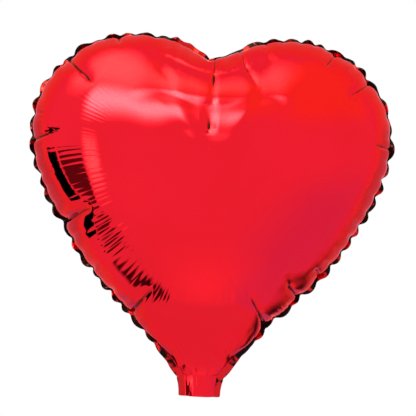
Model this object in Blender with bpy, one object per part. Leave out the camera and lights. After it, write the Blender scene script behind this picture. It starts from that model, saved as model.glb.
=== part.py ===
"""Heart-shaped foil balloon, inflated.

Two heart-cut film panels are welded together around their rim. The weld leaves a flat margin, and it is
open only at the neck, where a flat self-sealing valve of two thin films leads into the gas chamber.
Metres, +Z up, the front faces -Y. The origin is the centre of the neck's mouth.
"""

import math

import bmesh
import bpy

# Heart outline, at the outer edge of the weld margin. Each half is a cleft fillet, a lobe arc, a flatter
# side arc and a straight run down to the neck.
LOBE_X = 0.084
LOBE_Z = 0.274
LOBE_R = 0.110
LOBE_END = math.radians(-18)
SIDE_R = 0.346
SIDE_END = math.radians(-45)
CLEFT_R = 0.040
NECK_HALF = 0.022
MARGIN = 0.007

# Inflated chamber.
DEPTH = 0.180
MIDDLE_Z = 0.245
LOBE_FULLNESS = 3.6
TIP_FULLNESS = 2.0

# Film and weld layers, thicker than the real film so that they are solids.
FILM = 0.0008
WELD = 0.0006
VALVE_FILM = 0.0005
GAP = 0.0003
MARGIN_Y = WELD / 2 + GAP + FILM / 2

# Neck. It folds about FOLD_Z, and both sides of the fold stop short of it so that it can turn.
FOLD_Z = 0.020
FOLD_ROOM = 0.0017
NECK_FLAT_Z = 0.012
MOUTH_RISE = 0.0040
ROOT_RISE = 0.0012
ARCH_FLAT = 0.0105

# Valve: an inlet inside the neck and a tongue inside the chamber.
VALVE_HALF = 0.011
VALVE_SEAM = 0.0012
VALVE_Y = VALVE_FILM / 2 + 0.0005
INLET_LOW = 0.002
INLET_RISE = 0.0026
INLET_ARCH_FLAT = 0.0065
INLET_FLAT_Z = 0.010
INLET_WELD_HALF = 0.008
INLET_WELD_LOW = 0.003
INLET_WELD_HIGH = 0.008
PRINT_HALF = 0.006
PRINT_FILM = 0.0004
TONGUE_HINGE_Z = 0.022
TONGUE_TOP = 0.112

# Facets.
CLEFT_STEPS = 4
LOBE_STEPS = 18
SIDE_STEPS = 8
STRAIGHT_STEPS = 7
MOUTH_STEPS = 5
RINGS = 10
NECK_COLUMNS = 14


def clear_scene():
    for ob in list(bpy.data.objects):
        bpy.data.objects.remove(ob, do_unlink=True)


def material(name, colour, roughness, metallic, alpha=1.0):
    mat = bpy.data.materials.new(name)
    mat.use_nodes = True
    shader = mat.node_tree.nodes["Principled BSDF"]
    shader.inputs["Base Color"].default_value = (*colour, 1.0)
    shader.inputs["Roughness"].default_value = roughness
    shader.inputs["Metallic"].default_value = metallic
    shader.inputs["Alpha"].default_value = alpha
    return mat


def hinge_empty(name, z):
    """An empty on the axis of a fold, which runs along X through (0, 0, z)."""
    ob = bpy.data.objects.new(name, None)
    ob.empty_display_size = 0.03
    ob.location = (0, 0, z)
    bpy.context.scene.collection.objects.link(ob)
    return ob


def add_object(name, bm, mat, parent=None):
    """A named object from a bmesh in world coordinates, smooth but for its sharp edges."""
    mesh = bpy.data.meshes.new(name)
    if parent:
        bmesh.ops.translate(bm, verts=bm.verts, vec=[-c for c in parent.location])
    bm.to_mesh(mesh)
    bm.free()
    mesh.shade_smooth()
    mesh.set_sharp_from_angle(angle=math.radians(40))
    mesh.materials.append(mat)
    ob = bpy.data.objects.new(name, mesh)
    ob.parent = parent
    bpy.context.scene.collection.objects.link(ob)
    return ob


def mirror(ob):
    mod = ob.modifiers.new("Mirror", "MIRROR")
    mod.use_axis = (True, False, False)
    mod.merge_threshold = 0.0001


def thicken(ob, thickness):
    """Film thickness, half on each side of the modelled surface."""
    mod = ob.modifiers.new("Solidify", "SOLIDIFY")
    mod.thickness = thickness
    mod.offset = 0
    mod.use_even_offset = True


def arc(centre, radius, start, end, steps):
    """Points from start to just before end."""
    angles = [start + (end - start) * i / steps for i in range(steps)]
    return [(centre[0] + radius * math.cos(a), centre[1] + radius * math.sin(a)) for a in angles]


def side_centre():
    """The side arc goes on from the lobe arc with the same tangent."""
    reach = SIDE_R - LOBE_R
    return LOBE_X - reach * math.cos(LOBE_END), LOBE_Z - reach * math.sin(LOBE_END)


def neck_corner(inset):
    """Where the straight run meets the neck's side, at a distance inside the outline."""
    centre_x, centre_z = side_centre()
    end_x = centre_x + SIDE_R * math.cos(SIDE_END)
    end_z = centre_z + SIDE_R * math.sin(SIDE_END)
    run_down = (end_x - NECK_HALF) / math.tan(-SIDE_END)
    turn = (math.pi / 2 + SIDE_END) / 2
    return NECK_HALF - inset, end_z - run_down + inset * math.tan(turn)


def half_outline(inset):
    """The right half of the heart outline, from the cleft to the neck, moved in by inset."""
    cleft_z = LOBE_Z + math.sqrt((LOBE_R + CLEFT_R) ** 2 - LOBE_X ** 2)
    join = math.atan2(LOBE_Z - cleft_z, LOBE_X)
    points = arc((0, cleft_z), CLEFT_R + inset, -math.pi / 2, join, CLEFT_STEPS)
    points += arc((LOBE_X, LOBE_Z), LOBE_R - inset, join + math.pi, LOBE_END, LOBE_STEPS)
    points += arc(side_centre(), SIDE_R - inset, LOBE_END, SIDE_END, SIDE_STEPS)
    end = arc(side_centre(), SIDE_R - inset, SIDE_END, SIDE_END, 1)[0]
    corner = neck_corner(inset)
    for i in range(STRAIGHT_STEPS):
        t = i / STRAIGHT_STEPS
        points.append((end[0] + (corner[0] - end[0]) * t, end[1] + (corner[1] - end[1]) * t))
    return points + [corner]


def fall(value, start, end):
    """1 up to start, then a smooth fall to 0 at end."""
    t = min(max((value - start) / (end - start), 0), 1)
    return (1 + math.cos(math.pi * t)) / 2


def neck_arch(x):
    """The neck's cross-section, from 0 at its side seams to 1 over its flat middle."""
    return fall(abs(x), ARCH_FLAT, NECK_HALF - MARGIN)


def dome_y(ring, seam, base):
    """Distance of the dome from the weld's plane, on the way from the seam (1) to the middle (0)."""
    x, z = seam
    upward = (z - MIDDLE_Z) / math.hypot(x, z - MIDDLE_Z)
    power = TIP_FULLNESS + (LOBE_FULLNESS - TIP_FULLNESS) * (1 - fall(upward, -0.8, 0.3))
    top = DEPTH / 2 - FILM / 2
    return base + (top - base) * math.sqrt(max(1 - ring ** power, 0))


def panel(name, side, mat):
    """One film panel: the dome, its flat margin, and the short rim that leads into the neck."""
    outer = half_outline(0)
    seam = half_outline(MARGIN)
    heart = len(seam)
    bases = [MARGIN_Y] * heart
    root_z = FOLD_Z + FOLD_ROOM
    for i in range(1, MOUTH_STEPS + 1):
        x = seam[heart - 1][0] * (1 - i / MOUTH_STEPS)
        seam.append((x, seam[heart - 1][1]))
        bases.append(MARGIN_Y + ROOT_RISE * neck_arch(x))
    bm = bmesh.new()
    rows = []
    for j in range(1, RINGS + 1):
        ring = math.sin(math.pi / 2 * j / RINGS)
        row = []
        for (x, z), base in zip(seam, bases):
            place = (x * ring, side * dome_y(ring, (x, z), base), MIDDLE_Z + (z - MIDDLE_Z) * ring)
            row.append(bm.verts.new(place))
        rows.append(row)
    rim = [bm.verts.new((x, side * MARGIN_Y, max(z, root_z))) for x, z in outer]
    mouth = [bm.verts.new((p[0], side * b, root_z)) for p, b in zip(seam[heart - 1:], bases[heart - 1:])]
    middle = bm.verts.new((0, side * (DEPTH / 2 - FILM / 2), MIDDLE_Z))
    for a, b in zip(rows[0], rows[0][1:]):
        bm.faces.new((middle, a, b))
    for inner, further in zip(rows, rows[1:]):
        for i in range(len(inner) - 1):
            bm.faces.new((inner[i], further[i], further[i + 1], inner[i + 1]))
    last = rows[-1]
    for i in range(heart - 1):
        bm.faces.new((last[i], rim[i], rim[i + 1], last[i + 1]))
    bm.faces.new((last[heart - 1], rim[heart - 1], mouth[0]))
    for i in range(MOUTH_STEPS):
        bm.faces.new((last[heart - 1 + i], mouth[i], mouth[i + 1], last[heart + i]))
    bmesh.ops.recalc_face_normals(bm, faces=bm.faces)
    ob = add_object(name, bm, mat)
    mirror(ob)
    thicken(ob, FILM)


def rim_seal(name, mat):
    """The fused band between the two margins, from one side of the neck round to the other."""
    bm = bmesh.new()
    root_z = FOLD_Z + FOLD_ROOM
    outer = [bm.verts.new((x, 0, max(z, root_z))) for x, z in half_outline(0)]
    inner = [bm.verts.new((x, 0, z)) for x, z in half_outline(MARGIN - GAP)]
    for i in range(len(outer) - 1):
        bm.faces.new((outer[i], outer[i + 1], inner[i + 1], inner[i]))
    ob = add_object(name, bm, mat)
    mirror(ob)
    thicken(ob, WELD)


def film_grid(name, columns, levels, height, side, thickness, mat, parent):
    """A film whose distance from the middle plane is height(x, z), on a grid of columns and levels."""
    bm = bmesh.new()
    grid = [[bm.verts.new((x, side * height(x, z), z)) for x in columns] for z in levels]
    for low, high in zip(grid, grid[1:]):
        for i in range(len(columns) - 1):
            bm.faces.new((low[i], low[i + 1], high[i + 1], high[i]))
    ob = add_object(name, bm, mat, parent)
    thicken(ob, thickness)


def block(name, low, high, mat, parent):
    """A thin rectangular weld or print between two corners."""
    bm = bmesh.new()
    bmesh.ops.create_cube(bm, size=1)
    size = [b - a for a, b in zip(low, high)]
    bmesh.ops.scale(bm, verts=bm.verts, vec=size)
    bmesh.ops.translate(bm, verts=bm.verts, vec=[(a + b) / 2 for a, b in zip(low, high)])
    add_object(name, bm, mat, parent)


def spread(low, high, steps):
    return [low + (high - low) * i / steps for i in range(steps + 1)]


def neck_columns():
    """Columns across the neck, with edges where the flat middle and the margins begin."""
    inside = NECK_HALF - MARGIN
    flank = spread(ARCH_FLAT, inside, NECK_COLUMNS // 3)
    right = [0.0] + flank + [NECK_HALF]
    return [-x for x in reversed(right[1:])] + right


def neck_height(x, z):
    """The neck wall stands open at the mouth and closes down towards the fold."""
    rise = ROOT_RISE + (MOUTH_RISE - ROOT_RISE) * fall(z, NECK_FLAT_Z, FOLD_Z - FOLD_ROOM)
    return MARGIN_Y + rise * neck_arch(x)


def inlet_columns():
    """Columns across the valve inlet, with an edge where each side seam begins."""
    flank = spread(INLET_ARCH_FLAT, VALVE_HALF - VALVE_SEAM, NECK_COLUMNS // 3)
    right = [0.0] + flank + [VALVE_HALF]
    return [-x for x in reversed(right[1:])] + right


def inlet_height(x, z):
    """The inlet films lie against the neck walls at the mouth and come together at the fold."""
    rise = INLET_RISE * fall(z, INLET_FLAT_Z, FOLD_Z - FOLD_ROOM)
    return VALVE_Y + rise * fall(abs(x), INLET_ARCH_FLAT, VALVE_HALF - VALVE_SEAM)


def neck_parts(film, weld, fold):
    top = FOLD_Z - FOLD_ROOM
    levels = [0.0, NECK_FLAT_Z] + spread(NECK_FLAT_Z, top, 4)[1:]
    film_grid("neck_front_wall", neck_columns(), levels, neck_height, -1, FILM, film, fold)
    film_grid("neck_rear_wall", neck_columns(), levels, neck_height, 1, FILM, film, fold)
    inside = NECK_HALF - MARGIN + GAP
    block("neck_seal_right", (inside, -WELD / 2, 0), (NECK_HALF, WELD / 2, top), weld, fold)
    block("neck_seal_left", (-NECK_HALF, -WELD / 2, 0), (-inside, WELD / 2, top), weld, fold)


def seam_pair(front, low_z, high_z, mat, parent):
    """The two side seams of the valve, between its films."""
    half = VALVE_Y - VALVE_FILM / 2 - GAP
    inside = VALVE_HALF - VALVE_SEAM
    block(front + "_right", (inside, -half, low_z), (VALVE_HALF, half, high_z), mat, parent)
    block(front + "_left", (-VALVE_HALF, -half, low_z), (-inside, half, high_z), mat, parent)


def inlet_parts(film, weld, ink, fold):
    top = FOLD_Z - FOLD_ROOM
    levels = [INLET_LOW, INLET_FLAT_Z] + spread(INLET_FLAT_Z, top, 4)[1:]
    film_grid("inlet_front_film", inlet_columns(), levels, inlet_height, -1, VALVE_FILM, film, fold)
    film_grid("inlet_rear_film", inlet_columns(), levels, inlet_height, 1, VALVE_FILM, film, fold)
    seam_pair("inlet_seam", INLET_LOW, top, weld, fold)
    wall = MARGIN_Y + MOUTH_RISE - FILM / 2 - GAP
    skin = VALVE_Y + INLET_RISE + VALVE_FILM / 2 + GAP
    for name, near, far in (("inlet_weld_front", -wall, -skin), ("inlet_weld_rear", skin, wall)):
        low = (-INLET_WELD_HALF, near, INLET_WELD_LOW)
        block(name, low, (INLET_WELD_HALF, far, INLET_WELD_HIGH), weld, fold)
    face = VALVE_Y + INLET_RISE - VALVE_FILM / 2 - GAP
    low = (-PRINT_HALF, face - PRINT_FILM, INLET_WELD_LOW)
    block("valve_release_print", low, (PRINT_HALF, face, INLET_WELD_HIGH), ink, fold)


def tongue_parts(film, weld, hinge):
    low = FOLD_Z + FOLD_ROOM
    columns = spread(-VALVE_HALF, VALVE_HALF, 4)
    levels = spread(low, TONGUE_TOP, 6)
    film_grid("valve_front_film", columns, levels, lambda x, z: VALVE_Y, -1, VALVE_FILM, film, hinge)
    film_grid("valve_rear_film", columns, levels, lambda x, z: VALVE_Y, 1, VALVE_FILM, film, hinge)
    seam_pair("valve_seam", low, TONGUE_TOP, weld, hinge)


def main():
    clear_scene()
    red_film = material("red_foil", (0.80, 0.012, 0.022), 0.14, 1.0)
    red_weld = material("red_weld", (0.45, 0.008, 0.014), 0.30, 1.0)
    clear_film = material("valve_film", (0.86, 0.88, 0.90), 0.25, 0.0, 0.45)
    clear_weld = material("valve_weld", (0.78, 0.80, 0.82), 0.35, 0.0, 0.7)
    ink = material("release_ink", (0.30, 0.32, 0.36), 0.6, 0.0)
    fold = hinge_empty("neck_fold_axis", FOLD_Z)
    tongue = hinge_empty("valve_swing_axis", TONGUE_HINGE_Z)
    panel("front_foil_panel", -1, red_film)
    panel("rear_foil_panel", 1, red_film)
    rim_seal("rim_heat_seal", red_weld)
    neck_parts(red_film, red_weld, fold)
    inlet_parts(clear_film, clear_weld, ink, fold)
    tongue_parts(clear_film, clear_weld, tongue)


main()
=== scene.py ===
import math

import bpy
import numpy as np
from mathutils import Matrix, Vector


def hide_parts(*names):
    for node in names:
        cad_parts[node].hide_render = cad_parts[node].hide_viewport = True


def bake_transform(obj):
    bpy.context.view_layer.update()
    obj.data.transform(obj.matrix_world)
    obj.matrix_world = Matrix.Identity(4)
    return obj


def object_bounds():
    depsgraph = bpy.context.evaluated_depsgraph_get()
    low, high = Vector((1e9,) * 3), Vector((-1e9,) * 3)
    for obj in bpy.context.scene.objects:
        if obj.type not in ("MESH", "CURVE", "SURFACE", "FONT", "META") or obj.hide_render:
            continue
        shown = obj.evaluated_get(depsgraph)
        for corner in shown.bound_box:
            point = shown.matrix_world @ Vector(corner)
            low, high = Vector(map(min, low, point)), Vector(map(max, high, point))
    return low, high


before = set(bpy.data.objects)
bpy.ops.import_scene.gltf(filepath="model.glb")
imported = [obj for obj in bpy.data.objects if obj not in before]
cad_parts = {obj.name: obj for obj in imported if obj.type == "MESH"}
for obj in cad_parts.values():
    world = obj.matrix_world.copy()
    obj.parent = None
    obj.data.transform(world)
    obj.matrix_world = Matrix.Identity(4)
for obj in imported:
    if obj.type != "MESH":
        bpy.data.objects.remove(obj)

cad_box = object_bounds()

SEED = 7

# The heart's outline, as the film is welded, in metres: a cleft fillet, a lobe arc, a side arc and a
# straight run to the neck. It is the CAD panel's outline.
LOBE_X = 0.084
LOBE_Z = 0.274
LOBE_R = 0.110
LOBE_END = math.radians(-18)
SIDE_R = 0.346
SIDE_END = math.radians(-45)
CLEFT_R = 0.040
NECK_HALF = 0.022
MARGIN = 0.007
CORNER_RISE = MARGIN * math.tan(math.radians(22.5))
MIDDLE = np.array([0.0, 0.245])
DEPTH = 0.180
FOLD_Z = 0.020

# The neck's films: how far they stand from the weld's plane at their edges and walls, how much more
# they rise at the mouth and at the root, and how far from the middle they stay flat.
MOUTH_RISE = 0.0040
ROOT_RISE = 0.0040
ARCH_FLAT = 0.0068
NECK_FLAT_Z = 0.012
EDGE_Y = 0.0003
WALL_Y = 0.0014

# The simulated film: columns run in from the weld, and merge two by two towards the middle. A zone is
# (rows, share of the way over the dome where it ends).
HEART_COLUMNS = 434
CHORD_COLUMNS = 14
NECK_ROWS = 9
ZONES = ((13, 0.27), (11, 0.57), (6, 0.78), (4, 0.91), (3, 0.97))
MARGIN_RINGS = 2
TYPICAL_REACH = 0.150
SLANT_UNTIL = 0.03
SQUARE_FROM = 0.12
SQUARE_REACH = 0.42
OVER_PER_STRAIGHT = 1.12
MIDDLE_INSIDE = 0.2
NOT_ON_WELD = -1.0
HEART_KIND = 0
NECK_KIND = 1

# The dome that the simulation starts from: a soap film's rise on a square grid, made fuller by a power,
# narrowed to a funnel above the neck, and with the valley between the lobes filled.
GRID_STEP = 0.005
GRID_HALF = 0.200
GRID_TOP = 0.390
GRID_SPARE = 0.0001
GRID_TURNS = 4000
PUSH_SPAN = 0.17
TRUSTED_RING = 0.86
LOW_POWER = 1.0
HIGH_POWER_EXTRA = 0.8
DOME_ROUND = 0.5
TIP_LENGTH = 0.085
TIP_FLATTER = 0.4
TIP_LOWER = 0.30
FUNNEL_START = -0.001
FUNNEL_LENGTH = 0.036
NECK_RISE_KEPT = 0.012
NECK_RISE_GONE = 0.055
BRIDGE_HALF = 0.070
BRIDGE_FLAT = 0.2 * BRIDGE_HALF
BRIDGE_SWELL = 0.0060
BRIDGE_TOP_Z = 0.290
BRIDGE_END_Z = 0.180
BRIDGE_EDGE = 14

# Folds that run in from the weld, as seen from the front: where each starts and ends, how far the film
# dips towards it, and how deep its sharp groove is.
FRONT_FOLDS = (
    ((0.001, 0.356), (-0.004, 0.250), 0.0004, 0.0022),
    ((0.026, 0.363), (0.047, 0.327), 0.0008, 0.0016),
    ((-0.155, 0.351), (-0.122, 0.322), 0.0036, 0.0026),
    ((-0.106, 0.385), (-0.099, 0.364), 0.0022, 0.0018),
    ((-0.195, 0.260), (-0.148, 0.277), 0.0018, 0.0026),
    ((-0.158, 0.175), (-0.114, 0.199), 0.0038, 0.0028),
    ((-0.079, 0.083), (-0.050, 0.120), 0.0034, 0.0026),
    ((0.071, 0.073), (0.045, 0.116), 0.0034, 0.0026),
    ((0.105, 0.104), (0.084, 0.130), 0.0035, 0.0024),
    ((0.127, 0.128), (0.113, 0.146), 0.0024, 0.0018),
    ((0.194, 0.270), (0.165, 0.274), 0.0014, 0.0020),
    ((0.159, 0.336), (0.138, 0.320), 0.0030, 0.0020),
    ((0.127, 0.368), (0.113, 0.350), 0.0022, 0.0018),
)
FOLD_HALF_WIDTH = 0.0075
GROOVE_HALF_WIDTH = 0.0009
GROOVE_FULL = 0.0028
FOLD_WIDENS = 0.5

# The rear film's own folds, drawn at random along the weld: lengths, dips and steps between them.
REAR_CLEFT_FOLD = ((0.0, 0.356), (0.004, 0.262), 0.0015, 0.0020)
REAR_FOLD_ENDS = 0.05
REAR_FOLD_LENGTH = (0.018, 0.045)
REAR_FOLD_DIP = (0.002, 0.0045)
REAR_FOLD_STEP = (0.035, 0.075)
REAR_GROOVE = 0.0012
REAR_GROOVE_PER_DIP = 0.3
REAR_FOLD_OUTSIDE = 0.005

# Scallops along the weld, where the film is too long for the weld's curve and gathers, and the puff of
# the film just inside it.
SCALLOP_SHORT = 0.013
SCALLOP_LONG = 0.025
SCALLOP_IN = 0.0066
SCALLOP_Y = 0.0034
SCALLOP_REACH = 0.017
SCALLOP_DEPTHS = (0.6, 1.15)
SCALLOP_LEANS = (0.6, 1.1)
SCALLOP_LEAST = 0.35
SCALLOP_ROUND = 0.7
STRAIGHT_RUN = 0.110
PUFF = 0.0024
MARGIN_LEAN = 0.45
MARGIN_WILD = 0.35
MARGIN_WILD_PITCH = 0.009

# Smoothing after the simulation, near the neck and under the cleft, and the fillets at the neck's root.
EASE_TURNS = 60
ON_WELD_Y = 0.0001
NECK_EASE_Z = 0.004
NECK_EASE_REACH = (0.004, 0.022)
CLEFT_EASE_Z = 0.300
CLEFT_EASE_REACH = (0.045, 0.085)
CLEFT_EASE_Y = (-0.045, -0.015)
FILLET_REACH = 0.010
FILLET_X = 0.0032

# Combs of fine pleats: where (from the front, in metres), how wide and how long the patch is, the pitch
# of the pleats at the weld, and their height.
FRONT_COMBS = (
    ((-0.132, 0.228), 0.050, 0.036, 0.0066, 0.00050),
    ((-0.150, 0.262), 0.028, 0.022, 0.0058, 0.00040),
    ((-0.168, 0.300), 0.034, 0.026, 0.0058, 0.00018),
    ((-0.125, 0.295), 0.030, 0.022, 0.0070, 0.00016),
    ((-0.098, 0.170), 0.038, 0.030, 0.0076, 0.00055),
    ((-0.070, 0.140), 0.040, 0.030, 0.0076, 0.00060),
    ((-0.045, 0.110), 0.030, 0.024, 0.0070, 0.00045),
    ((0.085, 0.098), 0.026, 0.018, 0.0050, 0.00045),
    ((0.138, 0.345), 0.024, 0.018, 0.0060, 0.00040),
    ((-0.060, 0.345), 0.075, 0.022, 0.0060, 0.00012),
    ((0.015, 0.335), 0.040, 0.024, 0.0056, 0.00012),
    ((0.075, 0.372), 0.035, 0.018, 0.0058, 0.00014),
)
REAR_COMB_COUNT = 12
REAR_COMB_ENDS = 20
REAR_COMB_INSET = (0.015, 0.045)
REAR_COMB_WIDE = (0.02, 0.05)
REAR_COMB_LONG = 0.028
REAR_COMB_PITCH = (0.0055, 0.0068)
REAR_COMB_HEIGHT = (0.00010, 0.00030)
RIM_PITCH = 0.0058
RIM_PLEAT = 0.00016
RIM_PLEAT_REACH = 0.022
COMB_DRIFT = 0.35
COMB_DRIFT_PITCH = 0.03
COMB_STRENGTHS = (0.35, 1.0)
COMB_SHIFTS = (-0.35, 0.35)
PLEATS_FROM_WELD = 0.003

# Thicknesses and small heights of the film, and the length of the simulation.
FILM_LIFT = 0.00025
FILM_THICK = 0.00015
WELD_HALF = 0.00008
DENT_PITCH = 0.045
DENT_HEIGHT = 0.00022
DENT_WAVES = 7
GATHER_HEIGHT = 0.00045
GATHER_WAVES = (2.6, 4.3, 6.7)
GATHER_WIDENS = 0.9
GATHER_END = (0.030, 0.100)
SIM_FRAMES = 12

# Foil, weld and valve colours. The weld's near-black colour is a painted dark reflection, and its red
# patches are painted glints.
RED = (0.86, 0.005, 0.021)
RED_DEEP = (0.82, 0.004, 0.018)
RED_GLINT = (0.85, 0.06, 0.10, 1)
WELD_PAINTED_DARK = (0.010, 0.001, 0.001)
WELD_PAINTED_GLINT = (0.60, 0.010, 0.014)
LOW_PAINTED_GLINT_SHARE = 0.22
CLEFT_PAINTED_GLINT_SHARE = 0.25
CLEFT_PAINTED_GLINT_PLACE = (-0.022, 0.0, 0.365)

# Camera and floor.
CAMERA_AWAY = 1.9
SENSOR_WIDTH = 36
VIEW_WIDTH = 0.441
VIEW_UP = 0.008
CAMERA_ROLL = math.radians(2.7)
FLOOR_Z = -1.2
FLOOR_R = 8.0
FLOOR_SIDES = 96

# Studio cards: name, azimuth, elevation, distance, (width, height), light, (softness across, up).
CARDS = (
    ("key_glow", -25, 34, 2.0, (1.80, 1.10), (17.5, 17.5, 9.9), (0.45, 0.9)),
    ("key_halo", -46, 61, 1.6, (2.0, 1.7), (6.0, 6.0, 3.2), (0.8, 0.9)),
    ("left_black", -91, -20, 2.5, (0.83, 1.30), (0.0, 0.0, 0.0), (0.02, 0.1)),
    ("left_grey", -64, -17, 2.55, (1.38, 1.15), (0.13, 0.11, 0.11), (0.2, 0.3)),
    ("left_glow", -42, -3, 1.5, (0.42, 0.85), (5.0, 5.0, 2.9), (0.6, 0.7)),
    ("lower_dark", -60, -47, 1.3, (0.75, 0.34), (0.06, 0.05, 0.05), (0.5, 0.6)),
    ("lower_right_dim", 130, -44, 1.3, (1.5, 1.0), (0.06, 0.09, 0.20), (1.0, 1.0)),
    ("right_dim", 58, -34, 1.6, (3.6, 2.2), (0.84, 0.96, 1.5), (0.9, 0.9)),
    ("top_warm", 50, 52, 1.9, (3.2, 2.6), (1.10, 1.12, 0.42), (0.6, 0.6)),
    ("front_low", 0, -40, 1.2, (1.7, 1.2), (1.15, 1.15, 1.0), (1.0, 1.0)),
    ("back_left", -128, -8, 1.6, (1.4, 1.6), (0.70, 0.85, 1.2), (0.6, 0.6)),
    ("back_right", 128, -8, 1.6, (1.4, 1.6), (0.72, 0.85, 1.2), (0.6, 0.6)),
    ("back_low", 180, -52, 1.2, (2.2, 0.9), (0.66, 0.85, 2.0), (0.6, 0.6)),
)


def fall(value, start, end):
    """1 up to start, then a smooth fall to 0 at end."""
    t = np.clip((np.asarray(value, float) - start) / (end - start), 0, 1)
    return (1 + np.cos(np.pi * t)) / 2


def arc(centre, radius, start, end, steps=200):
    a = np.linspace(start, end, steps)
    return np.stack([centre[0] + radius * np.cos(a), centre[1] + radius * np.sin(a)], 1)


def half_seam():
    """The right half of the weld's inner edge, from the cleft to the neck corner, closely spaced."""
    cleft_z = LOBE_Z + math.sqrt((LOBE_R + CLEFT_R) ** 2 - LOBE_X ** 2)
    join = math.atan2(LOBE_Z - cleft_z, LOBE_X)
    reach = SIDE_R - LOBE_R
    side = (LOBE_X - reach * math.cos(LOBE_END), LOBE_Z - reach * math.sin(LOBE_END))
    end_x = side[0] + SIDE_R * math.cos(SIDE_END)
    end_z = side[1] + SIDE_R * math.sin(SIDE_END)
    corner = np.array([[NECK_HALF - MARGIN, end_z - (end_x - NECK_HALF) + CORNER_RISE]])
    cleft = arc((0, cleft_z), CLEFT_R + MARGIN, -math.pi / 2, join)
    lobe = arc((LOBE_X, LOBE_Z), LOBE_R - MARGIN, join + math.pi, LOBE_END)
    flank = arc(side, SIDE_R - MARGIN, LOBE_END, SIDE_END)
    return np.concatenate([cleft, lobe[1:], flank[1:], corner])


def resample(points, count):
    """count + 1 points at equal distances along a line."""
    step = np.linalg.norm(np.diff(points, axis=0), axis=1)
    along = np.concatenate([[0], np.cumsum(step)])
    at = np.linspace(0, along[-1], count + 1)
    return np.stack([np.interp(at, along, points[:, k]) for k in range(points.shape[1])], 1)


def heart_seam():
    """The weld's inner edge from the right neck corner over both lobes to the left neck corner."""
    right = half_seam()
    left = right[1:] * np.array([-1, 1])
    return resample(np.concatenate([right[::-1], left]), HEART_COLUMNS)


def outward(line):
    """Unit normals that point away from the heart, along a line that runs anticlockwise."""
    t = np.gradient(line, axis=0)
    t /= np.linalg.norm(t, axis=1)[:, None]
    return np.stack([t[:, 1], -t[:, 0]], 1)


SEAM = heart_seam()
SEAM_OUT = outward(SEAM)
SEAM_LENGTH = float(np.linalg.norm(np.diff(SEAM, axis=0), axis=1).sum())
CORNER_Z = float(SEAM[0, 1])


def neck_arch(x):
    """1 in the flat middle of the neck's wall, falling to 0 at its side welds."""
    return fall(np.abs(x), ARCH_FLAT, NECK_HALF - MARGIN)


def neck_y(x, z):
    """Distance of the neck's wall from the weld's plane."""
    rise = ROOT_RISE + (MOUTH_RISE - ROOT_RISE) * fall(z, NECK_FLAT_Z, FOLD_Z)
    return EDGE_Y + (WALL_Y - EDGE_Y + rise) * neck_arch(x)


def polar_radius():
    """Distance of the weld from the middle, by angle, with the chord across the neck's root."""
    chord = np.stack([np.linspace(SEAM[-1, 0], SEAM[0, 0], 40), np.full(40, CORNER_Z)], 1)
    line = np.concatenate([SEAM, chord[1:-1]]) - MIDDLE
    angle = np.unwrap(np.arctan2(line[:, 1], line[:, 0]))
    return angle, np.linalg.norm(line, axis=1)


POLAR_ANGLE, POLAR_RADIUS = polar_radius()


def ring_place(points):
    """Ways out from the middle to the weld, from 0 to 1, with the distances and steps from the middle."""
    rel = points - MIDDLE
    radius = np.maximum(np.linalg.norm(rel, axis=-1), 1e-6)
    angle = np.arctan2(rel[..., 1], rel[..., 0])
    angle = (angle - POLAR_ANGLE[0]) % (2 * math.pi) + POLAR_ANGLE[0]
    return radius / np.interp(angle, POLAR_ANGLE, POLAR_RADIUS), radius, rel


def membrane():
    """How far a soap film over the outline would rise, on a square grid, as a share of its top."""
    x = np.arange(-GRID_HALF, GRID_HALF + GRID_SPARE, GRID_STEP)
    z = np.arange(0.0, GRID_TOP + GRID_SPARE, GRID_STEP)
    points = np.stack(np.meshgrid(x, z, indexing="ij"), -1)
    ring = ring_place(points)[0]
    within = ((ring < 1) & (points[..., 1] > CORNER_Z))[1:-1, 1:-1]
    rise = np.clip(1 - ring ** 2, 0, 1)
    rise[[0, -1], :] = 0
    rise[:, [0, -1]] = 0
    push = (GRID_STEP / PUSH_SPAN) ** 2
    for _ in range(GRID_TURNS):
        around = rise[2:, 1:-1] + rise[:-2, 1:-1] + rise[1:-1, 2:] + rise[1:-1, :-2]
        rise[1:-1, 1:-1] = np.where(within, around / 4 + push, 0)
    return rise / rise.max()


MEMBRANE = membrane()


def membrane_at(points):
    """The soap film's rise at any places inside the outline."""
    x = (points[:, 0] + GRID_HALF) / GRID_STEP
    z = points[:, 1] / GRID_STEP
    i = np.clip(x.astype(int), 0, MEMBRANE.shape[0] - 2)
    k = np.clip(z.astype(int), 0, MEMBRANE.shape[1] - 2)
    u, v = x - i, z - k
    low = MEMBRANE[i, k] * (1 - u) + MEMBRANE[i + 1, k] * u
    high = MEMBRANE[i, k + 1] * (1 - u) + MEMBRANE[i + 1, k + 1] * u
    return low * (1 - v) + high * v


def soap_rise(ring, rel):
    """The soap film's rise, carried on smoothly to 0 at the weld, where the square grid is too coarse."""
    trusted = np.minimum(ring, TRUSTED_RING)
    share = membrane_at(MIDDLE + rel * (trusted / np.maximum(ring, 1e-6))[:, None])
    return np.clip((1 - ring ** 2) * share / (1 - trusted ** 2), 0, 1)


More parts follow.
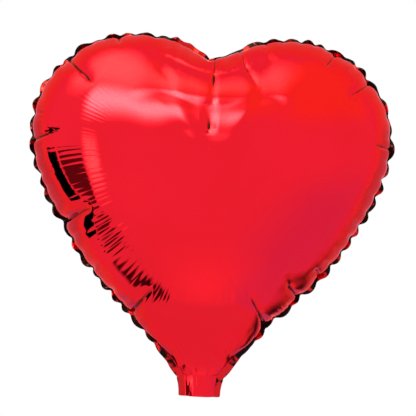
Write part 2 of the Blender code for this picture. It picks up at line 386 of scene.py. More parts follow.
def dome_y(points):
    """Distance of the film from the weld's plane: a soap film's rise, made as full as a balloon's."""
    ring, radius, rel = ring_place(points)
    rise = soap_rise(np.clip(ring, 0, 1), rel)
    x, z = points[:, 0], points[:, 1]
    power = LOW_POWER + HIGH_POWER_EXTRA * (1 - fall(rel[:, 1] / radius, -0.8, 0.3))
    near_neck = fall(z, CORNER_Z + NECK_RISE_KEPT, CORNER_Z + NECK_RISE_GONE)
    base = EDGE_Y + (WALL_Y - EDGE_Y + ROOT_RISE) * neck_arch(x) * near_neck
    tip = fall(z, CORNER_Z, CORNER_Z + TIP_LENGTH)
    half = NECK_HALF - MARGIN + np.maximum(z - CORNER_Z, 0)
    inner_tip = tip * fall(np.abs(x) / half, 0.3, 1.0)
    funnel = 1 - fall(z, CORNER_Z + FUNNEL_START, CORNER_Z + FUNNEL_LENGTH)
    rounding = DOME_ROUND + TIP_FLATTER * inner_tip
    full = (1 - (1 - rise) ** power) ** rounding * (1 - TIP_LOWER * tip) * funnel
    return base + (DEPTH / 2 - base) * full


def bridged_y(points):
    """The dome with the valley between the lobes filled, except next to the weld."""
    own = dome_y(points)
    x, z = points[:, 0], points[:, 1]
    beside = points.copy()
    beside[:, 0] = BRIDGE_HALF * np.where(x < 0, -1, 1)
    ring = np.clip(ring_place(points)[0], 0, 1)
    share = fall(np.abs(x), BRIDGE_FLAT, BRIDGE_HALF) * (1 - ring ** BRIDGE_EDGE)
    share *= fall(-z, -BRIDGE_TOP_Z, -BRIDGE_END_Z)
    swell = BRIDGE_SWELL * (1 - np.clip(x / BRIDGE_HALF, -1, 1) ** 2)
    return own + share * np.maximum(dome_y(beside) + swell - own, 0)


def row_places():
    """Ways in from the weld, from 0 to 1, and how far over the dome each one is, from 0 to 1."""
    way = np.linspace(0, 1, 2001) ** 2
    height = DEPTH / 2 * np.sqrt(1 - (1 - way) ** 3)
    step = np.hypot(np.diff(way * TYPICAL_REACH), np.diff(height))
    over = np.concatenate([[0], np.cumsum(step)])
    return way, over / over[-1]


ROW_WAY, ROW_OVER = row_places()


class Film:
    """One simulated sheet in the making: flat places, facts along the rim, and faces."""

    def __init__(self):
        self.at = []
        self.along = []
        self.inside = []
        self.kind = []
        self.faces = []

    def add(self, point, along, inside, kind):
        self.at.append(point)
        self.along.append(along)
        self.inside.append(inside)
        self.kind.append(kind)
        return len(self.at) - 1

    def add_row(self, loop, keep, over):
        """A row at the same share of the way over the dome, with a point on every keep-th column."""
        t = float(np.interp(over, ROW_OVER, ROW_WAY))
        row = []
        for i in range(0, len(loop), keep):
            start, out, bend, along = loop[i]
            mid, reach = column(start, out, float(bend))
            place = (1 - t) ** 2 * start + 2 * t * (1 - t) * mid + t * t * MIDDLE
            inside = over * OVER_PER_STRAIGHT * math.hypot(reach, DEPTH / 2)
            row.append(self.add(place, along, inside, HEART_KIND))
        return row

    def join_rows(self, outer, inner):
        """Faces between two closed rows, the inner with as many points as the outer or half as many."""
        count = len(inner)
        for i in range(count):
            n = (i + 1) % count
            if len(outer) == count:
                self.faces.append([outer[i], outer[n], inner[n], inner[i]])
            else:
                last = outer[(2 * i + 2) % len(outer)]
                self.faces.append([outer[2 * i], outer[2 * i + 1], inner[i]])
                self.faces.append([outer[2 * i + 1], last, inner[n], inner[i]])


def column(start, out, bend):
    """The middle point of a way in from the weld, and its reach. At bend 1 it leaves square to the weld."""
    reach = np.linalg.norm(start - MIDDLE)
    square = start - out * SQUARE_REACH * reach
    straight = (start + MIDDLE) / 2
    return square * bend + straight * (1 - bend), reach


def weld_loop():
    """Where the columns start, all the way round: place, way out, bend, and distance along the weld."""
    pitch = SEAM_LENGTH / HEART_COLUMNS
    loop = []
    for i, place in enumerate(SEAM):
        along = i * pitch
        bend = 1 - fall(min(along, SEAM_LENGTH - along), SLANT_UNTIL, SQUARE_FROM)
        loop.append((place, SEAM_OUT[i], bend, along))
    for k in range(1, CHORD_COLUMNS):
        x = SEAM[-1, 0] + (SEAM[0, 0] - SEAM[-1, 0]) * k / CHORD_COLUMNS
        loop.append((np.array([x, CORNER_Z]), np.array([0.0, -1.0]), 0.0, NOT_ON_WELD))
    return loop


def polar_film():
    """The heart-shaped part of one panel, and its outer row."""
    film = Film()
    loop = weld_loop()
    rows = []
    done = 0.0
    keep = 1
    for zone, (steps, until) in enumerate(ZONES):
        for j in range(0 if zone == 0 else 1, steps + 1):
            rows.append(film.add_row(loop, keep, done + (until - done) * (j / steps)))
        done = until
        keep *= 2
    for outer, inner in zip(rows, rows[1:]):
        film.join_rows(outer, inner)
    centre = film.add(MIDDLE.copy(), NOT_ON_WELD, MIDDLE_INSIDE, HEART_KIND)
    last = rows[-1]
    for i in range(len(last)):
        film.faces.append([last[i], last[(i + 1) % len(last)], centre])
    return film, rows[0]


def neck_film(film, ring):
    """Rows from the root of the neck down to its mouth, joined to the chord of the heart."""
    chord = ring[HEART_COLUMNS:] + [ring[0]]
    above = chord
    lefts, rights = [], []
    for j in range(1, NECK_ROWS + 1):
        z = CORNER_Z * (1 - j / NECK_ROWS)
        row = [film.add(np.array([film.at[c][0], z]), NOT_ON_WELD, 0.0, NECK_KIND) for c in chord]
        for i in range(len(row) - 1):
            film.faces.append([above[i], above[i + 1], row[i + 1], row[i]][::-1])
        above = row
        lefts.append(row[0])
        rights.append(row[-1])
    return lefts, rights


def point_normals(co, faces):
    """Unit normals at the points, from the faces around each."""
    out = np.zeros_like(co)
    for n in (3, 4):
        some = np.array([f for f in faces if len(f) == n])
        if len(some):
            a = co[some[:, 2]] - co[some[:, 0]]
            b = co[some[:, n - 1]] - co[some[:, 1]]
            normal = np.cross(a, b)
            for k in range(n):
                np.add.at(out, some[:, k], normal)
    return out / np.maximum(np.linalg.norm(out, axis=1), 1e-12)[:, None]


def smooth_noise(rng, at, pitch, length):
    """A smooth random line through values about one pitch apart, from -1 to 1."""
    count = max(4, int(length / pitch) + 3)
    values = rng.uniform(-1, 1, count)
    x = np.clip(at / pitch, 0, count - 2.001)
    i = x.astype(int)
    t = x - i
    t = t * t * (3 - 2 * t)
    return values[i] * (1 - t) + values[i + 1] * t


def fold_depth(points, folds, half_width, sharp=False):
    """How far in the folds push the film at each point: the soft dips, or the sharp grooves."""
    total = np.zeros(len(points))
    for start, end, dip, groove in folds:
        depth = groove if sharp else dip
        a, b = np.array(start), np.array(end)
        along = (b - a) / np.linalg.norm(b - a)
        rel = points - a
        t = rel @ along / np.linalg.norm(b - a)
        across = np.abs(rel @ np.array([-along[1], along[0]]))
        width = half_width * (1 + FOLD_WIDENS * np.clip(t, 0, 1))
        total += depth * fall(t, 0.7, 1.0) * np.exp(-across / width) * fall(-t, 0.3, 0.6)
    return total


def rear_folds(rng):
    """Folds of the rear panel, spread unevenly along the weld."""
    folds = [REAR_CLEFT_FOLD]
    s = REAR_FOLD_ENDS
    while s < SEAM_LENGTH - REAR_FOLD_ENDS:
        i = int(s / SEAM_LENGTH * HEART_COLUMNS)
        p = SEAM[i]
        under_cleft = abs(p[0]) <= 0.02 and p[1] >= 0.3
        if not under_cleft:
            length = rng.uniform(*REAR_FOLD_LENGTH)
            q = p - SEAM_OUT[i] * length
            dip = rng.uniform(*REAR_FOLD_DIP)
            groove = REAR_GROOVE + REAR_GROOVE_PER_DIP * dip
            folds.append((tuple(p + SEAM_OUT[i] * REAR_FOLD_OUTSIDE), tuple(q), dip, groove))
        s += rng.uniform(*REAR_FOLD_STEP)
    return folds


class Scallops:
    """Where the gathers along the weld begin and end, how deep each pinch is, and which way each leans."""

    def __init__(self, rng):
        ends = [-0.01]
        while ends[-1] < SEAM_LENGTH + 0.01:
            ends.append(ends[-1] + rng.uniform(SCALLOP_SHORT, SCALLOP_LONG))
        self.ends = np.array(ends)
        count = len(ends)
        self.depth = rng.uniform(*SCALLOP_DEPTHS, count)
        self.lean = rng.uniform(*SCALLOP_LEANS, count) * np.where(np.arange(count) % 2, 1, -1)

    def at(self, along):
        """(inward pull, lean out of the weld's plane) at distances along the weld, at most about 1."""
        k = np.clip(np.searchsorted(self.ends, along) - 1, 0, len(self.ends) - 2)
        part = (along - self.ends[k]) / (self.ends[k + 1] - self.ends[k])
        bulge = np.sin(np.pi * np.clip(part, 0, 1))
        depth = self.depth[k] * (1 - part) + self.depth[k + 1] * part
        from_end = np.minimum(along, SEAM_LENGTH - along)
        curved = SCALLOP_LEAST + (1 - SCALLOP_LEAST) * (1 - fall(from_end, 0.03, STRAIGHT_RUN))
        from_cleft = np.abs(along - SEAM_LENGTH / 2)
        curved *= SCALLOP_LEAST + (1 - SCALLOP_LEAST) * (1 - fall(from_cleft, 0.02, 0.07))
        return curved * depth * (1 - bulge ** SCALLOP_ROUND), curved * self.lean[k] * bulge


def rim_shift(along, inside, flat, scallops):
    """How far the gathers move the film inward, and out of the weld's plane."""
    pull, lean = scallops.at(along)
    near = np.exp(-inside / SCALLOP_REACH) * (along > 0) * fall(-flat[:, 1], -0.050, -0.030)
    puff = PUFF * fall(-inside, -0.016, 0.0) * fall(inside, 0.03, 0.10)
    puff *= (along > 0) * fall(-flat[:, 1], -0.075, -0.030)
    return SCALLOP_IN * pull * near - puff, SCALLOP_Y * lean * near


def film_layer(flat, y, side, faces, seam, out, folds, shift):
    """Places of one film before it is put under pressure."""
    co = np.stack([flat[:, 0], side * y, flat[:, 1]], 1)
    normal = point_normals(co, faces)
    normal[seam] = np.stack([out[seam, 0], np.zeros(len(seam)), out[seam, 1]], 1)
    co -= normal * fold_depth(flat, folds, FOLD_HALF_WIDTH)[:, None]
    co[:, 0] -= out[:, 0] * shift[0]
    co[:, 2] -= out[:, 1] * shift[0]
    co[:, 1] += shift[1]
    return co


class Balloon:
    """Both films and the welded margin as one sheet of points, with the facts that later steps need."""

    def __init__(self, rng):
        film, ring = polar_film()
        lefts, rights = neck_film(film, ring)
        self.film_faces = film.faces
        self.seam = rights[::-1] + ring[: HEART_COLUMNS + 1] + lefts
        self.flat = np.array(film.at)
        self.inside = np.array(film.inside)
        self.along = np.array(film.along)
        self.count = len(self.flat)
        on_neck = np.array(film.kind) == NECK_KIND
        y = np.where(on_neck, neck_y(self.flat[:, 0], self.flat[:, 1]), bridged_y(self.flat))
        y[self.seam] = 0
        out = self.ways_out()
        self.scallops = Scallops(rng)
        shift = rim_shift(self.along, self.inside, self.flat, self.scallops)
        turned = [f[::-1] for f in film.faces]
        self.rear_folds = rear_folds(rng)
        front = film_layer(self.flat, y, -1, film.faces, self.seam, out, FRONT_FOLDS, shift)
        rear = film_layer(self.flat, y, 1, turned, self.seam, out, self.rear_folds, shift)
        self.join(front, rear, turned)
        self.add_margin(rng)

    def ways_out(self):
        """The weld's outward direction for each point on a column, and none on the neck."""
        out = np.zeros((self.count, 2))
        index = np.clip((self.along / SEAM_LENGTH * HEART_COLUMNS).round().astype(int), 0, HEART_COLUMNS)
        on_heart = self.along >= 0
        out[on_heart] = SEAM_OUT[index[on_heart]]
        return out

    def join(self, front, rear, turned):
        """One list of points, with the weld line shared by both films."""
        front[self.seam] = (front[self.seam] + rear[self.seam]) / 2
        own = np.ones(self.count, bool)
        own[self.seam] = False
        self.rear_index = np.arange(self.count)
        self.rear_index[own] = self.count + np.arange(own.sum())
        self.co = np.concatenate([front, rear[own]])
        self.faces = [list(f) for f in self.film_faces]
        self.faces += [[int(self.rear_index[i]) for i in f] for f in turned]

    def add_margin(self, rng):
        """Rings of the welded margin, which lean with the scallops."""
        line = self.co[self.seam]
        way = outward(self.flat[self.seam])
        along = self.along[self.seam]
        lean = np.where(along > 0, self.scallops.at(np.maximum(along, 0))[1], 0)
        wild = smooth_noise(rng, np.maximum(along, 0), MARGIN_WILD_PITCH, SEAM_LENGTH)
        tilt = MARGIN_LEAN * lean + MARGIN_WILD * wild * (along > 0)
        self.margin = [list(self.seam)]
        for j in range(1, MARGIN_RINGS + 1):
            step = MARGIN * j / MARGIN_RINGS
            place = line.copy()
            place[:, 0] += way[:, 0] * np.cos(tilt) * step
            place[:, 2] += way[:, 1] * np.cos(tilt) * step
            place[:, 1] += np.sin(tilt) * step
            row = list(range(len(self.co), len(self.co) + len(line)))
            self.co = np.concatenate([self.co, place])
            last = self.margin[-1]
            for i in range(len(row) - 1):
                self.faces.append([last[i], last[i + 1], row[i + 1], row[i]][::-1])
            self.margin.append(row)
        self.margin_faces = self.faces[2 * len(self.film_faces):]


def add_mesh(name, co, faces):
    mesh = bpy.data.meshes.new(name)
    mesh.from_pydata([tuple(p) for p in co], [], faces)
    mesh.update()
    ob = bpy.data.objects.new(name, mesh)
    bpy.context.scene.collection.objects.link(ob)
    return ob


def weighted(ob, name, weights):
    group = ob.vertex_groups.new(name=name)
    for i, w in enumerate(weights):
        if w > 0:
            group.add([i], float(w), "REPLACE")
    return name


def inflate(co, faces, margin, frames):
    """Cloth under gas pressure, held at the neck. Returns where its points end up."""
    ob = add_mesh("inflating_film", co, faces)
    pressed = np.clip((co[:, 2] - FOLD_Z) / 0.03, 0, 1)
    for row in margin[1:]:
        pressed[row] = 0
    held = (co[:, 2] < CORNER_Z + 0.0005).astype(float)
    mod = ob.modifiers.new("Cloth", "CLOTH")
    cloth = mod.settings
    cloth.quality = 8
    cloth.mass = 0.001
    cloth.tension_stiffness = 200
    cloth.compression_stiffness = 200
    cloth.shear_stiffness = 50
    cloth.bending_stiffness = 0.05
    cloth.tension_damping = 5
    cloth.compression_damping = 5
    cloth.shear_damping = 5
    cloth.bending_damping = 0.5
    cloth.use_pressure = True
    cloth.uniform_pressure_force = 30
    cloth.vertex_group_pressure = weighted(ob, "pressed", pressed)
    cloth.vertex_group_mass = weighted(ob, "held", held)
    cloth.effector_weights.gravity = 0
    mod.collision_settings.use_collision = False
    mod.point_cache.frame_start = 1
    mod.point_cache.frame_end = frames
    scene = bpy.context.scene
    scene.frame_start = 1
    scene.frame_end = frames
    for frame_number in range(1, frames + 1):
        scene.frame_set(frame_number)
    shown = ob.evaluated_get(bpy.context.evaluated_depsgraph_get())
    out = np.array([v.co for v in shown.data.vertices])
    scene.frame_set(1)
    bpy.data.objects.remove(ob, do_unlink=True)
    return out


def points_of(mesh):
    out = np.zeros(len(mesh.vertices) * 3)
    mesh.vertices.foreach_get("co", out)
    return out.reshape(-1, 3)


def normals_of(mesh):
    out = np.zeros(len(mesh.vertices) * 3)
    mesh.vertex_normals.foreach_get("vector", out)
    return out.reshape(-1, 3)


def put_points(mesh, co):
    mesh.vertices.foreach_set("co", np.ascontiguousarray(co).ravel())
    mesh.update()


def fact(mesh, name, values=None):
    """Writes one number per point into a mesh, or reads it back."""
    if values is not None:
        layer = mesh.attributes.new(name, "FLOAT", "POINT")
        layer.data.foreach_set("value", np.asarray(values, np.float32))
        return values
    out = np.zeros(len(mesh.vertices))
    mesh.attributes[name].data.foreach_get("value", out)
    return out


def apply_modifiers(ob):
    """Makes what the modifiers show the object's own mesh."""
    shown = ob.evaluated_get(bpy.context.evaluated_depsgraph_get())
    mesh = bpy.data.meshes.new_from_object(shown)
    ob.modifiers.clear()
    old = ob.data
    ob.data = mesh
    bpy.data.meshes.remove(old)
    mesh.name = ob.name


def part_of(co, faces, facts):
    """Only the points that these faces use, in their first order."""
    used = np.unique(np.concatenate([np.asarray(f) for f in faces]))
    place = np.full(len(co), -1)
    place[used] = np.arange(len(used))
    faces = [[int(place[i]) for i in f] for f in faces]
    return co[used], faces, {name: values[used] for name, values in facts.items()}


def thin(ob, thickness, offset):
    mod = ob.modifiers.new("Film", "SOLIDIFY")
    mod.thickness = thickness
    mod.offset = offset
    mod.use_even_offset = False
    apply_modifiers(ob)
    ob.data.shade_smooth()


def comb(rng, along, across, pitch, height):
    """Pleats side by side along the weld, each with its own strength and its own two ends."""
    count = int(SEAM_LENGTH / pitch) + 3
    drift = COMB_DRIFT * smooth_noise(rng, np.maximum(along, 0), COMB_DRIFT_PITCH, SEAM_LENGTH)
    phase = np.maximum(along, 0) / pitch + drift + 1
    k = np.clip(phase.astype(int), 0, count - 1)
    strength = rng.uniform(*COMB_STRENGTHS, count)[k]
    shifted = rng.uniform(*COMB_SHIFTS, count)[k]
    return -height * strength * np.cos(2 * np.pi * phase) * fall(np.abs(across + shifted), 0.35, 1.0)


def pleats(rng, flat, along, inside, combs):
    """Height of the fine pleats at each point, along the film's normal."""
    on_dome = (along > 0) * fall(-flat[:, 1], -0.045, -0.030)
    total = comb(rng, along, inside / RIM_PLEAT_REACH, RIM_PITCH, RIM_PLEAT)
    for middle, wide, long, pitch, height in combs:
        away = np.linalg.norm(flat - np.array(middle), axis=1)
        over = (inside - inside[int(np.argmin(away))]) / long
        patch = fall(away / wide, 0.55, 1.15)
        total += comb(rng, along, over, pitch, height) * patch
    seam_free = 1 - np.exp(-inside / PLEATS_FROM_WELD)
    return total * on_dome * seam_free


def neck_gathers(rng, flat):
    """Lengthwise gathers that fan out from the neck up into the heart."""
    half = NECK_HALF - MARGIN + GATHER_WIDENS * np.maximum(flat[:, 1] - CORNER_Z, 0)
    u = flat[:, 0] / half
    total = np.zeros(len(flat))
    for waves in GATHER_WAVES:
        total += np.cos(2 * np.pi * (waves * u + rng.uniform())) / len(GATHER_WAVES)
    edge = 1 - np.clip(np.abs(u), 0, 1) ** 4
    return GATHER_HEIGHT * total * edge * fall(flat[:, 1], *GATHER_END)


def rear_combs(rng):
    """Patches of fine pleats on the rear film, spread unevenly inside the weld."""
    out = []
    for _ in range(REAR_COMB_COUNT):
        i = int(rng.integers(REAR_COMB_ENDS, HEART_COLUMNS - REAR_COMB_ENDS))
        place = tuple(SEAM[i] - SEAM_OUT[i] * rng.uniform(*REAR_COMB_INSET))
        wide = rng.uniform(*REAR_COMB_WIDE)
        pitch = rng.uniform(*REAR_COMB_PITCH)
        height = rng.uniform(*REAR_COMB_HEIGHT)
        out.append((place, wide, REAR_COMB_LONG, pitch, height))
    return out


def crinkle(rng, co, pitch, height):
    """Soft random dents of about one pitch, as a height for each point."""
    total = np.zeros(len(co))
    for _ in range(DENT_WAVES):
        way = rng.normal(size=3)
        way *= 2 * math.pi / (pitch * rng.uniform(0.7, 1.6)) / np.linalg.norm(way)
        total += np.sin(co @ way + rng.uniform(0, 2 * math.pi))
    return height * total / DENT_WAVES


def film_facts(balloon, index):
    """Numbers for each settled point of one film and of the margin, which later steps read back."""
    names = ("flat_x", "flat_z", "along", "inside", "weld")
    facts = {key: np.zeros(balloon.co.shape[0]) for key in names}
    facts["flat_x"][index] = balloon.flat[:, 0]
    facts["flat_z"][index] = balloon.flat[:, 1]
    facts["along"][index] = balloon.along
    facts["inside"][index] = balloon.inside
    seam = balloon.margin[0]
    for j, row in enumerate(balloon.margin):
        facts["flat_x"][row] = balloon.flat[seam, 0]
        facts["flat_z"][row] = balloon.flat[seam, 1]
        facts["along"][row] = balloon.along[seam]
        facts["weld"][row] = j / MARGIN_RINGS
    return facts


def smoothed(name, co, faces, facts):
    """A new object, with its facts, rounded by one step of subdivision."""
    ob = add_mesh(name, co, faces)
    for key, values in facts.items():
        fact(ob.data, key, values)
    mod = ob.modifiers.new("Smooth", "SUBSURF")
    mod.levels = 1
    mod.render_levels = 1
    apply_modifiers(ob)
    return ob


def roughen(mesh, rng, folds, combs):
    """Moves the film along its normals: fine pleats, sharp grooves, soft dents and the neck's gathers."""
    flat = np.stack([fact(mesh, "flat_x"), fact(mesh, "flat_z")], 1)
    co = points_of(mesh)
    on_film = fall(fact(mesh, "weld"), 0.0, 0.3)
    height = pleats(rng, flat, fact(mesh, "along"), fact(mesh, "inside"), combs)
    groove = fold_depth(flat, folds, GROOVE_HALF_WIDTH, sharp=True) * on_film
    height -= groove
    # The grooves' depth is kept as the groove fact, which the foil material reads to paint shade into the
    # base colour.
    fact(mesh, "groove", groove / GROOVE_FULL)
    height += crinkle(rng, co, DENT_PITCH, DENT_HEIGHT) * on_film * fall(-co[:, 2], -0.06, -0.03)
    height += neck_gathers(rng, flat) * on_film
    put_points(mesh, co + normals_of(mesh) * (FILM_LIFT + height)[:, None])


def film_piece(name, rng, balloon, settled, front):
    """One film of the balloon with its half of the welded margin, from the settled points."""
    count = len(balloon.film_faces)
    if front:
        index = np.arange(balloon.count)
        faces = balloon.faces[:count] + balloon.margin_faces
        folds, combs = FRONT_FOLDS, FRONT_COMBS
    else:
        index = balloon.rear_index
        faces = balloon.faces[count: 2 * count] + [f[::-1] for f in balloon.margin_faces]
        folds, combs = balloon.rear_folds, rear_combs(rng)
    ob = smoothed(name, *part_of(settled, faces, film_facts(balloon, index)))
    roughen(ob.data, rng, folds, combs)
    thin(ob, FILM_THICK, -1)
    return ob


def weld_piece(balloon, settled):
    """The melted edge between the two films, all the way round from one side of the mouth to the other."""
    ob = smoothed("weld_band", *part_of(settled, balloon.margin_faces, {}))
    thin(ob, 2 * WELD_HALF, 0)
    return ob


def fit(settled, box):
    """Brings the settled shape back to the CAD's width, height and depth; the pressure swells it."""
    low, high = np.array(box[0]), np.array(box[1])
    now_low, now_high = settled.min(0), settled.max(0)
    out = settled.copy()
    for k in (0, 1):
        out[:, k] *= (high[k] - low[k]) / (now_high[k] - now_low[k])
    over = np.clip((settled[:, 2] - CORNER_Z) / (now_high[2] - CORNER_Z), 0, 1)
    out[:, 2] += over * (high[2] - now_high[2])
    keep = fall(settled[:, 2], CORNER_Z, CORNER_Z + 0.03)[:, None]
    out[:, :2] = out[:, :2] * (1 - keep) + settled[:, :2] * keep
    return out


def ease(settled, faces, share):
    """Smooths the films' distance from the weld's plane where share is not 0."""
    pairs = np.array([(f[k], f[(k + 1) % len(f)]) for f in faces for k in range(len(f))])
    count = np.zeros(len(settled))
    np.add.at(count, pairs[:, 0], 1)
    share = share * (np.abs(settled[:, 1]) > ON_WELD_Y)
    y = settled[:, 1].copy()
    for _ in range(EASE_TURNS):
        total = np.zeros(len(y))
        np.add.at(total, pairs[:, 0], y[pairs[:, 1]])
        y += 0.5 * share * (total / np.maximum(count, 1) - y)
    out = settled.copy()
    out[:, 1] = y
    return out


def ease_neck_and_cleft(settled, faces):
    """Smooths the way into the neck and under the cleft, and rounds the corners at the neck's root."""
    neck = fall(np.abs(settled[:, 2] - CORNER_Z - NECK_EASE_Z), *NECK_EASE_REACH)
    from_cleft = np.hypot(settled[:, 0], settled[:, 2] - CLEFT_EASE_Z)
    cleft = fall(from_cleft, *CLEFT_EASE_REACH) * fall(-np.abs(settled[:, 1]), *CLEFT_EASE_Y)
    out = ease(settled, faces, np.maximum(neck, cleft))
    near = np.exp(-((settled[:, 2] - CORNER_Z) / FILLET_REACH) ** 2)
    out[:, 0] += FILLET_X * near * np.clip(settled[:, 0] / NECK_HALF, -1, 1)
    return out


def new_material(name):
    mat = bpy.data.materials.new(name)
    mat.use_nodes = True
    tree = mat.node_tree
    shader = tree.nodes["Principled BSDF"]
    return mat, tree, shader


def node(tree, kind, **values):
    made = tree.nodes.new(kind)
    for key, value in values.items():
        if hasattr(made, key):
            setattr(made, key, value)
        else:
            made.inputs[key].default_value = value
    return made


def noise(tree, scale, detail=3.0, rough=0.5):
    """A noise field in the object's own coordinates, in metres."""
    place = node(tree, "ShaderNodeTexCoord")
    made = node(tree, "ShaderNodeTexNoise", Scale=scale, Detail=detail, Roughness=rough)
    tree.links.new(place.outputs["Object"], made.inputs["Vector"])
    return made.outputs["Fac"]


def ramp(tree, source, stops):
    """A colour ramp over a field: stops are (place, colour)."""
    made = node(tree, "ShaderNodeValToRGB")
    elements = made.color_ramp.elements
    while len(elements) < len(stops):
        elements.new(0.5)
    for element, (place, colour) in zip(elements, stops):
        element.position = place
        element.color = (*colour, 1)
    tree.links.new(source, made.inputs["Fac"])
    return made.outputs["Color"]


def map_range(tree, source, start, end, low, high, **values):
    """A field that goes from low to high while the source goes from start to end."""
    made = node(tree, "ShaderNodeMapRange", **values)
    made.inputs["From Min"].default_value = start
    made.inputs["From Max"].default_value = end
    made.inputs["To Min"].default_value = low
    made.inputs["To Max"].default_value = high
    tree.links.new(source, made.inputs["Value"])
    return made.outputs["Result"]


def spread(tree, source, low, high):
    """The field's middle range, from 0.3 to 0.7, spread from low to high."""
    return map_range(tree, source, 0.3, 0.7, low, high)


def bump(tree, shader, source, strength, depth):
    made = node(tree, "ShaderNodeBump", Strength=strength, Distance=depth)
    tree.links.new(source, made.inputs["Height"])
    tree.links.new(made.outputs["Normal"], shader.inputs["Normal"])


def foil_material(name, light, dark, rough, coat):
    """Aluminised film under a tinted lacquer: a mirror with fine grain, under a thin clear coat, with
    painted shade: the base colour goes near black in the sharp grooves' cores.
    """
    mat, tree, shader = new_material(name)
    shader.inputs["Metallic"].default_value = 1.0
    shader.inputs["Coat Weight"].default_value = coat
    shader.inputs["Coat IOR"].default_value = 1.5
    shader.inputs["Coat Roughness"].default_value = 0.05
    shader.inputs["Specular Tint"].default_value = RED_GLINT
    tint = ramp(tree, noise(tree, 9.0, 2.0), ((0.35, dark), (0.65, light)))
    # Painted shade: the groove fact darkens the base colour to near black in the grooves' cores.
    groove = node(tree, "ShaderNodeAttribute", attribute_name="groove")
    painted_groove_shade = ramp(tree, groove.outputs["Fac"], ((0.25, (1, 1, 1)), (0.62, (0.03, 0.03, 0.03))))
    both = node(tree, "ShaderNodeMix", data_type="RGBA", blend_type="MULTIPLY")
    both.inputs[0].default_value = 1.0
    tree.links.new(tint, both.inputs[6])
    tree.links.new(painted_groove_shade, both.inputs[7])
    tree.links.new(both.outputs[2], shader.inputs["Base Color"])
    tree.links.new(spread(tree, noise(tree, 140.0, 2.0), *rough), shader.inputs["Roughness"])
    bump(tree, shader, noise(tree, 420.0, 3.0), 0.05, 0.0002)
    return mat


def weld_painted_dark_material():
    """The weld: a near-black base colour that is a painted dark reflection, duller, with a faint stipple,
    and painted red glints, more of them low down and at the cleft.
    """
    mat, tree, shader = new_material("weld_foil_painted_dark_with_glints")
    shader.inputs["Metallic"].default_value = 1.0
    shader.inputs["Coat Weight"].default_value = 0.1
    shader.inputs["Coat Roughness"].default_value = 0.1
    place = node(tree, "ShaderNodeTexCoord")
    split = node(tree, "ShaderNodeSeparateXYZ")
    tree.links.new(place.outputs["Object"], split.inputs[0])
    # Painted glints: the share of red patches grows low down, near the neck, and near the cleft.
    low = map_range(tree, split.outputs["Z"], 0.015, 0.060, LOW_PAINTED_GLINT_SHARE, 0.0)
    cleft = node(tree, "ShaderNodeVectorMath", operation="DISTANCE")
    cleft.inputs[1].default_value = CLEFT_PAINTED_GLINT_PLACE
    tree.links.new(place.outputs["Object"], cleft.inputs[0])
    cleft_painted_glint = map_range(tree, cleft.outputs["Value"], 0.018, 0.030, CLEFT_PAINTED_GLINT_SHARE, 0.0)
    painted_glint_share = node(tree, "ShaderNodeMath", operation="MAXIMUM")
    tree.links.new(low, painted_glint_share.inputs[0])
    tree.links.new(cleft_painted_glint, painted_glint_share.inputs[1])
    field = node(tree, "ShaderNodeMath", operation="ADD")
    tree.links.new(noise(tree, 90.0, 2.0), field.inputs[0])
    tree.links.new(painted_glint_share.outputs[0], field.inputs[1])
    # Near-black painted dark reflection, broken by red painted glints where the noise and the glint share
    # are high.
    tint = ramp(tree, field.outputs[0], ((0.56, WELD_PAINTED_DARK), (0.64, WELD_PAINTED_GLINT)))
    tree.links.new(tint, shader.inputs["Base Color"])
    tree.links.new(spread(tree, noise(tree, 300.0, 2.0), 0.12, 0.3), shader.inputs["Roughness"])
    bump(tree, shader, noise(tree, 700.0, 2.0), 0.25, 0.0002)
    return mat


def clear_film_material(name, tint, rough):
    """The valve's thin milky polyethylene film."""
    mat, tree, shader = new_material(name)
    shader.inputs["Roughness"].default_value = rough
    shader.inputs["IOR"].default_value = 1.5
    shader.inputs["Transmission Weight"].default_value = 0.35
    colour = ramp(tree, noise(tree, 60.0, 2.0), ((0.3, tint), (0.7, tuple(0.9 * c for c in tint))))
    tree.links.new(colour, shader.inputs["Base Color"])
    bump(tree, shader, noise(tree, 300.0, 2.0), 0.15, 0.0002)
    return mat


def ink_material():
    mat, tree, shader = new_material("release_coat_ink")
    colour = ramp(tree, noise(tree, 500.0, 2.0), ((0.4, (0.02, 0.03, 0.07)), (0.6, (0.04, 0.06, 0.12))))
    tree.links.new(colour, shader.inputs["Base Color"])
    tree.links.new(spread(tree, noise(tree, 250.0, 2.0), 0.4, 0.6), shader.inputs["Roughness"])
    return mat


def dress_cad(name, mat):
    """A CAD node that stays shown gets a procedural material in each slot."""
    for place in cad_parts[name].material_slots:
        place.material = mat


def dress_film(ob, foil, weld):
    """Foil inside the weld line, and on the margin outside it the weld material, whose dark colour and red
    patches are painted reflection and painted glints.
    """
    mesh = ob.data
    mesh.materials.clear()
    mesh.materials.append(foil)
    mesh.materials.append(weld)
    on_weld = fact(mesh, "weld")
    for face in mesh.polygons:
        face.material_index = int(on_weld[list(face.vertices)].mean() > 0.05)


def aim(ob, place, target, roll=0.0):
    ob.location = place
    turn = (Vector(target) - Vector(place)).to_track_quat("-Z", "Y").to_matrix().to_4x4()
    ob.rotation_euler = (turn @ Matrix.Rotation(roll, 4, "Z")).to_euler()


def add_camera(middle):
    cam = bpy.data.cameras.new("camera")
    cam.sensor_width = SENSOR_WIDTH
    cam.lens = CAMERA_AWAY * SENSOR_WIDTH / VIEW_WIDTH
    ob = bpy.data.objects.new("camera", cam)
    bpy.context.scene.collection.objects.link(ob)
    target = Vector((middle[0], 0.0, middle[2] + VIEW_UP))
    aim(ob, target + Vector((0, -CAMERA_AWAY, 0)), target, CAMERA_ROLL)
    bpy.context.scene.camera = ob


def add_world():
    world = bpy.data.worlds.new("studio")
    world.use_nodes = True
    back = world.node_tree.nodes["Background"]
    back.inputs["Color"].default_value = (1.0, 1.0, 1.0, 1)
    back.inputs["Strength"].default_value = 1.0
    bpy.context.scene.world = world
    bpy.context.scene.view_settings.view_transform = "Standard"


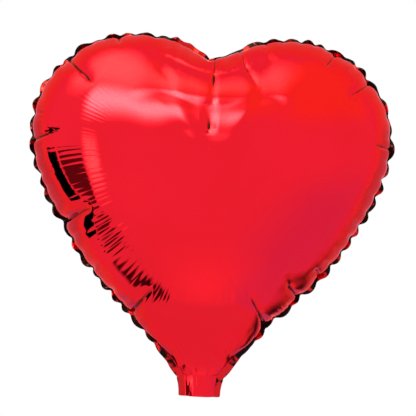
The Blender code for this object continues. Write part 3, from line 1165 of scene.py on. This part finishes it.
def edge_fade(tree, place, half, soft):
    """1 inside a card, falling smoothly to 0 at its edge in one direction."""
    size = node(tree, "ShaderNodeMath", operation="ABSOLUTE")
    tree.links.new(place, size.inputs[0])
    start = half * (1 - soft)
    return map_range(tree, size.outputs[0], start, half, 1, 0, interpolation_type="SMOOTHSTEP")


def card_material(name, size, colour, soft):
    """Light of one colour that fades out towards the card's edges."""
    mat = bpy.data.materials.new(name)
    mat.use_nodes = True
    tree = mat.node_tree
    tree.nodes.clear()
    glow = node(tree, "ShaderNodeEmission", Strength=1.0)
    glow.inputs["Color"].default_value = (*colour, 1)
    place = node(tree, "ShaderNodeTexCoord")
    split = node(tree, "ShaderNodeSeparateXYZ")
    tree.links.new(place.outputs["Object"], split.inputs[0])
    both = node(tree, "ShaderNodeMath", operation="MULTIPLY")
    tree.links.new(edge_fade(tree, split.outputs["X"], size[0] / 2, soft[0]), both.inputs[0])
    tree.links.new(edge_fade(tree, split.outputs["Y"], size[1] / 2, soft[1]), both.inputs[1])
    mix = node(tree, "ShaderNodeMixShader")
    tree.links.new(both.outputs[0], mix.inputs[0])
    tree.links.new(node(tree, "ShaderNodeBsdfTransparent").outputs[0], mix.inputs[1])
    tree.links.new(glow.outputs[0], mix.inputs[2])
    end = node(tree, "ShaderNodeOutputMaterial")
    tree.links.new(mix.outputs[0], end.inputs["Surface"])
    return mat


def add_card(name, azimuth, elevation, away, size, colour, soft, target):
    """A card that only reflections see: azimuth 0 is the camera's side, and -90 is its left."""
    a, e = math.radians(azimuth), math.radians(elevation)
    way = Vector((math.sin(a) * math.cos(e), -math.cos(a) * math.cos(e), math.sin(e)))
    w, h = size[0] / 2, size[1] / 2
    ob = add_mesh(name, [(-w, -h, 0), (w, -h, 0), (w, h, 0), (-w, h, 0)], [(0, 1, 2, 3)])
    aim(ob, Vector(target) + way * away, target)
    ob.data.materials.append(card_material(name, size, colour, soft))
    ob.visible_camera = False
    ob.visible_diffuse = False
    ob.visible_shadow = False


def add_floor():
    """A pale round floor, darker in the middle, whose edge melts into the white world."""
    angles = np.linspace(0, 2 * math.pi, FLOOR_SIDES + 1)[:-1]
    ring = [(FLOOR_R * math.cos(a), FLOOR_R * math.sin(a), 0) for a in angles]
    ob = add_mesh("floor", ring, [tuple(range(FLOOR_SIDES))])
    ob.location = (0, 0, FLOOR_Z)
    mat, tree, shader = new_material("pale_floor")
    place = node(tree, "ShaderNodeTexCoord")
    far = node(tree, "ShaderNodeVectorMath", operation="LENGTH")
    tree.links.new(place.outputs["Object"], far.inputs[0])
    share = node(tree, "ShaderNodeMath", operation="DIVIDE")
    share.inputs[1].default_value = FLOOR_R
    tree.links.new(far.outputs["Value"], share.inputs[0])
    colour = ramp(tree, share.outputs[0], ((0.12, (0.93, 0.93, 0.93)), (0.6, (1.0, 1.0, 1.0))))
    tree.links.new(colour, shader.inputs["Base Color"])
    shader.inputs["Roughness"].default_value = 0.7
    shader.inputs["Specular IOR Level"].default_value = 0.0
    ob.data.materials.append(mat)


def add_studio(middle):
    add_world()
    add_camera(middle)
    add_floor()
    for card in CARDS:
        add_card(*card, middle)


rng = np.random.default_rng(SEED)
balloon = Balloon(rng)
settled = inflate(balloon.co, balloon.faces, balloon.margin, SIM_FRAMES)
settled = ease_neck_and_cleft(fit(settled, cad_box), balloon.faces[: 2 * len(balloon.film_faces)])

front_film = film_piece("front_film", rng, balloon, settled, True)
rear_film = film_piece("rear_film", rng, balloon, settled, False)
weld_band = weld_piece(balloon, settled)

red_foil = foil_material("red_metallised_film", RED, RED_DEEP, (0.035, 0.07), 0.2)
# The weld material paints a dark reflection with red glints onto the films' margins and the weld band.
weld_painted_dark_foil = weld_painted_dark_material()
for ob in (front_film, rear_film):
    dress_film(ob, red_foil, weld_painted_dark_foil)
weld_band.data.materials.append(weld_painted_dark_foil)

valve_film = clear_film_material("valve_film", (0.82, 0.84, 0.86), 0.25)
valve_weld = clear_film_material("valve_weld", (0.90, 0.91, 0.92), 0.45)
for name in ("inlet_front_film", "inlet_rear_film", "valve_front_film", "valve_rear_film"):
    dress_cad(name, valve_film)
for name in ("inlet_seam_left", "inlet_seam_right", "inlet_weld_front", "inlet_weld_rear",
             "valve_seam_left", "valve_seam_right"):
    dress_cad(name, valve_weld)
dress_cad("valve_release_print", ink_material())

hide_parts("front_foil_panel", "neck_front_wall")
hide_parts("rear_foil_panel", "neck_rear_wall")
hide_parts("rim_heat_seal", "neck_seal_left", "neck_seal_right")
for ob in (front_film, rear_film, weld_band):
    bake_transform(ob)

middle = [(a + b) / 2 for a, b in zip(*cad_box)]
add_studio(middle)
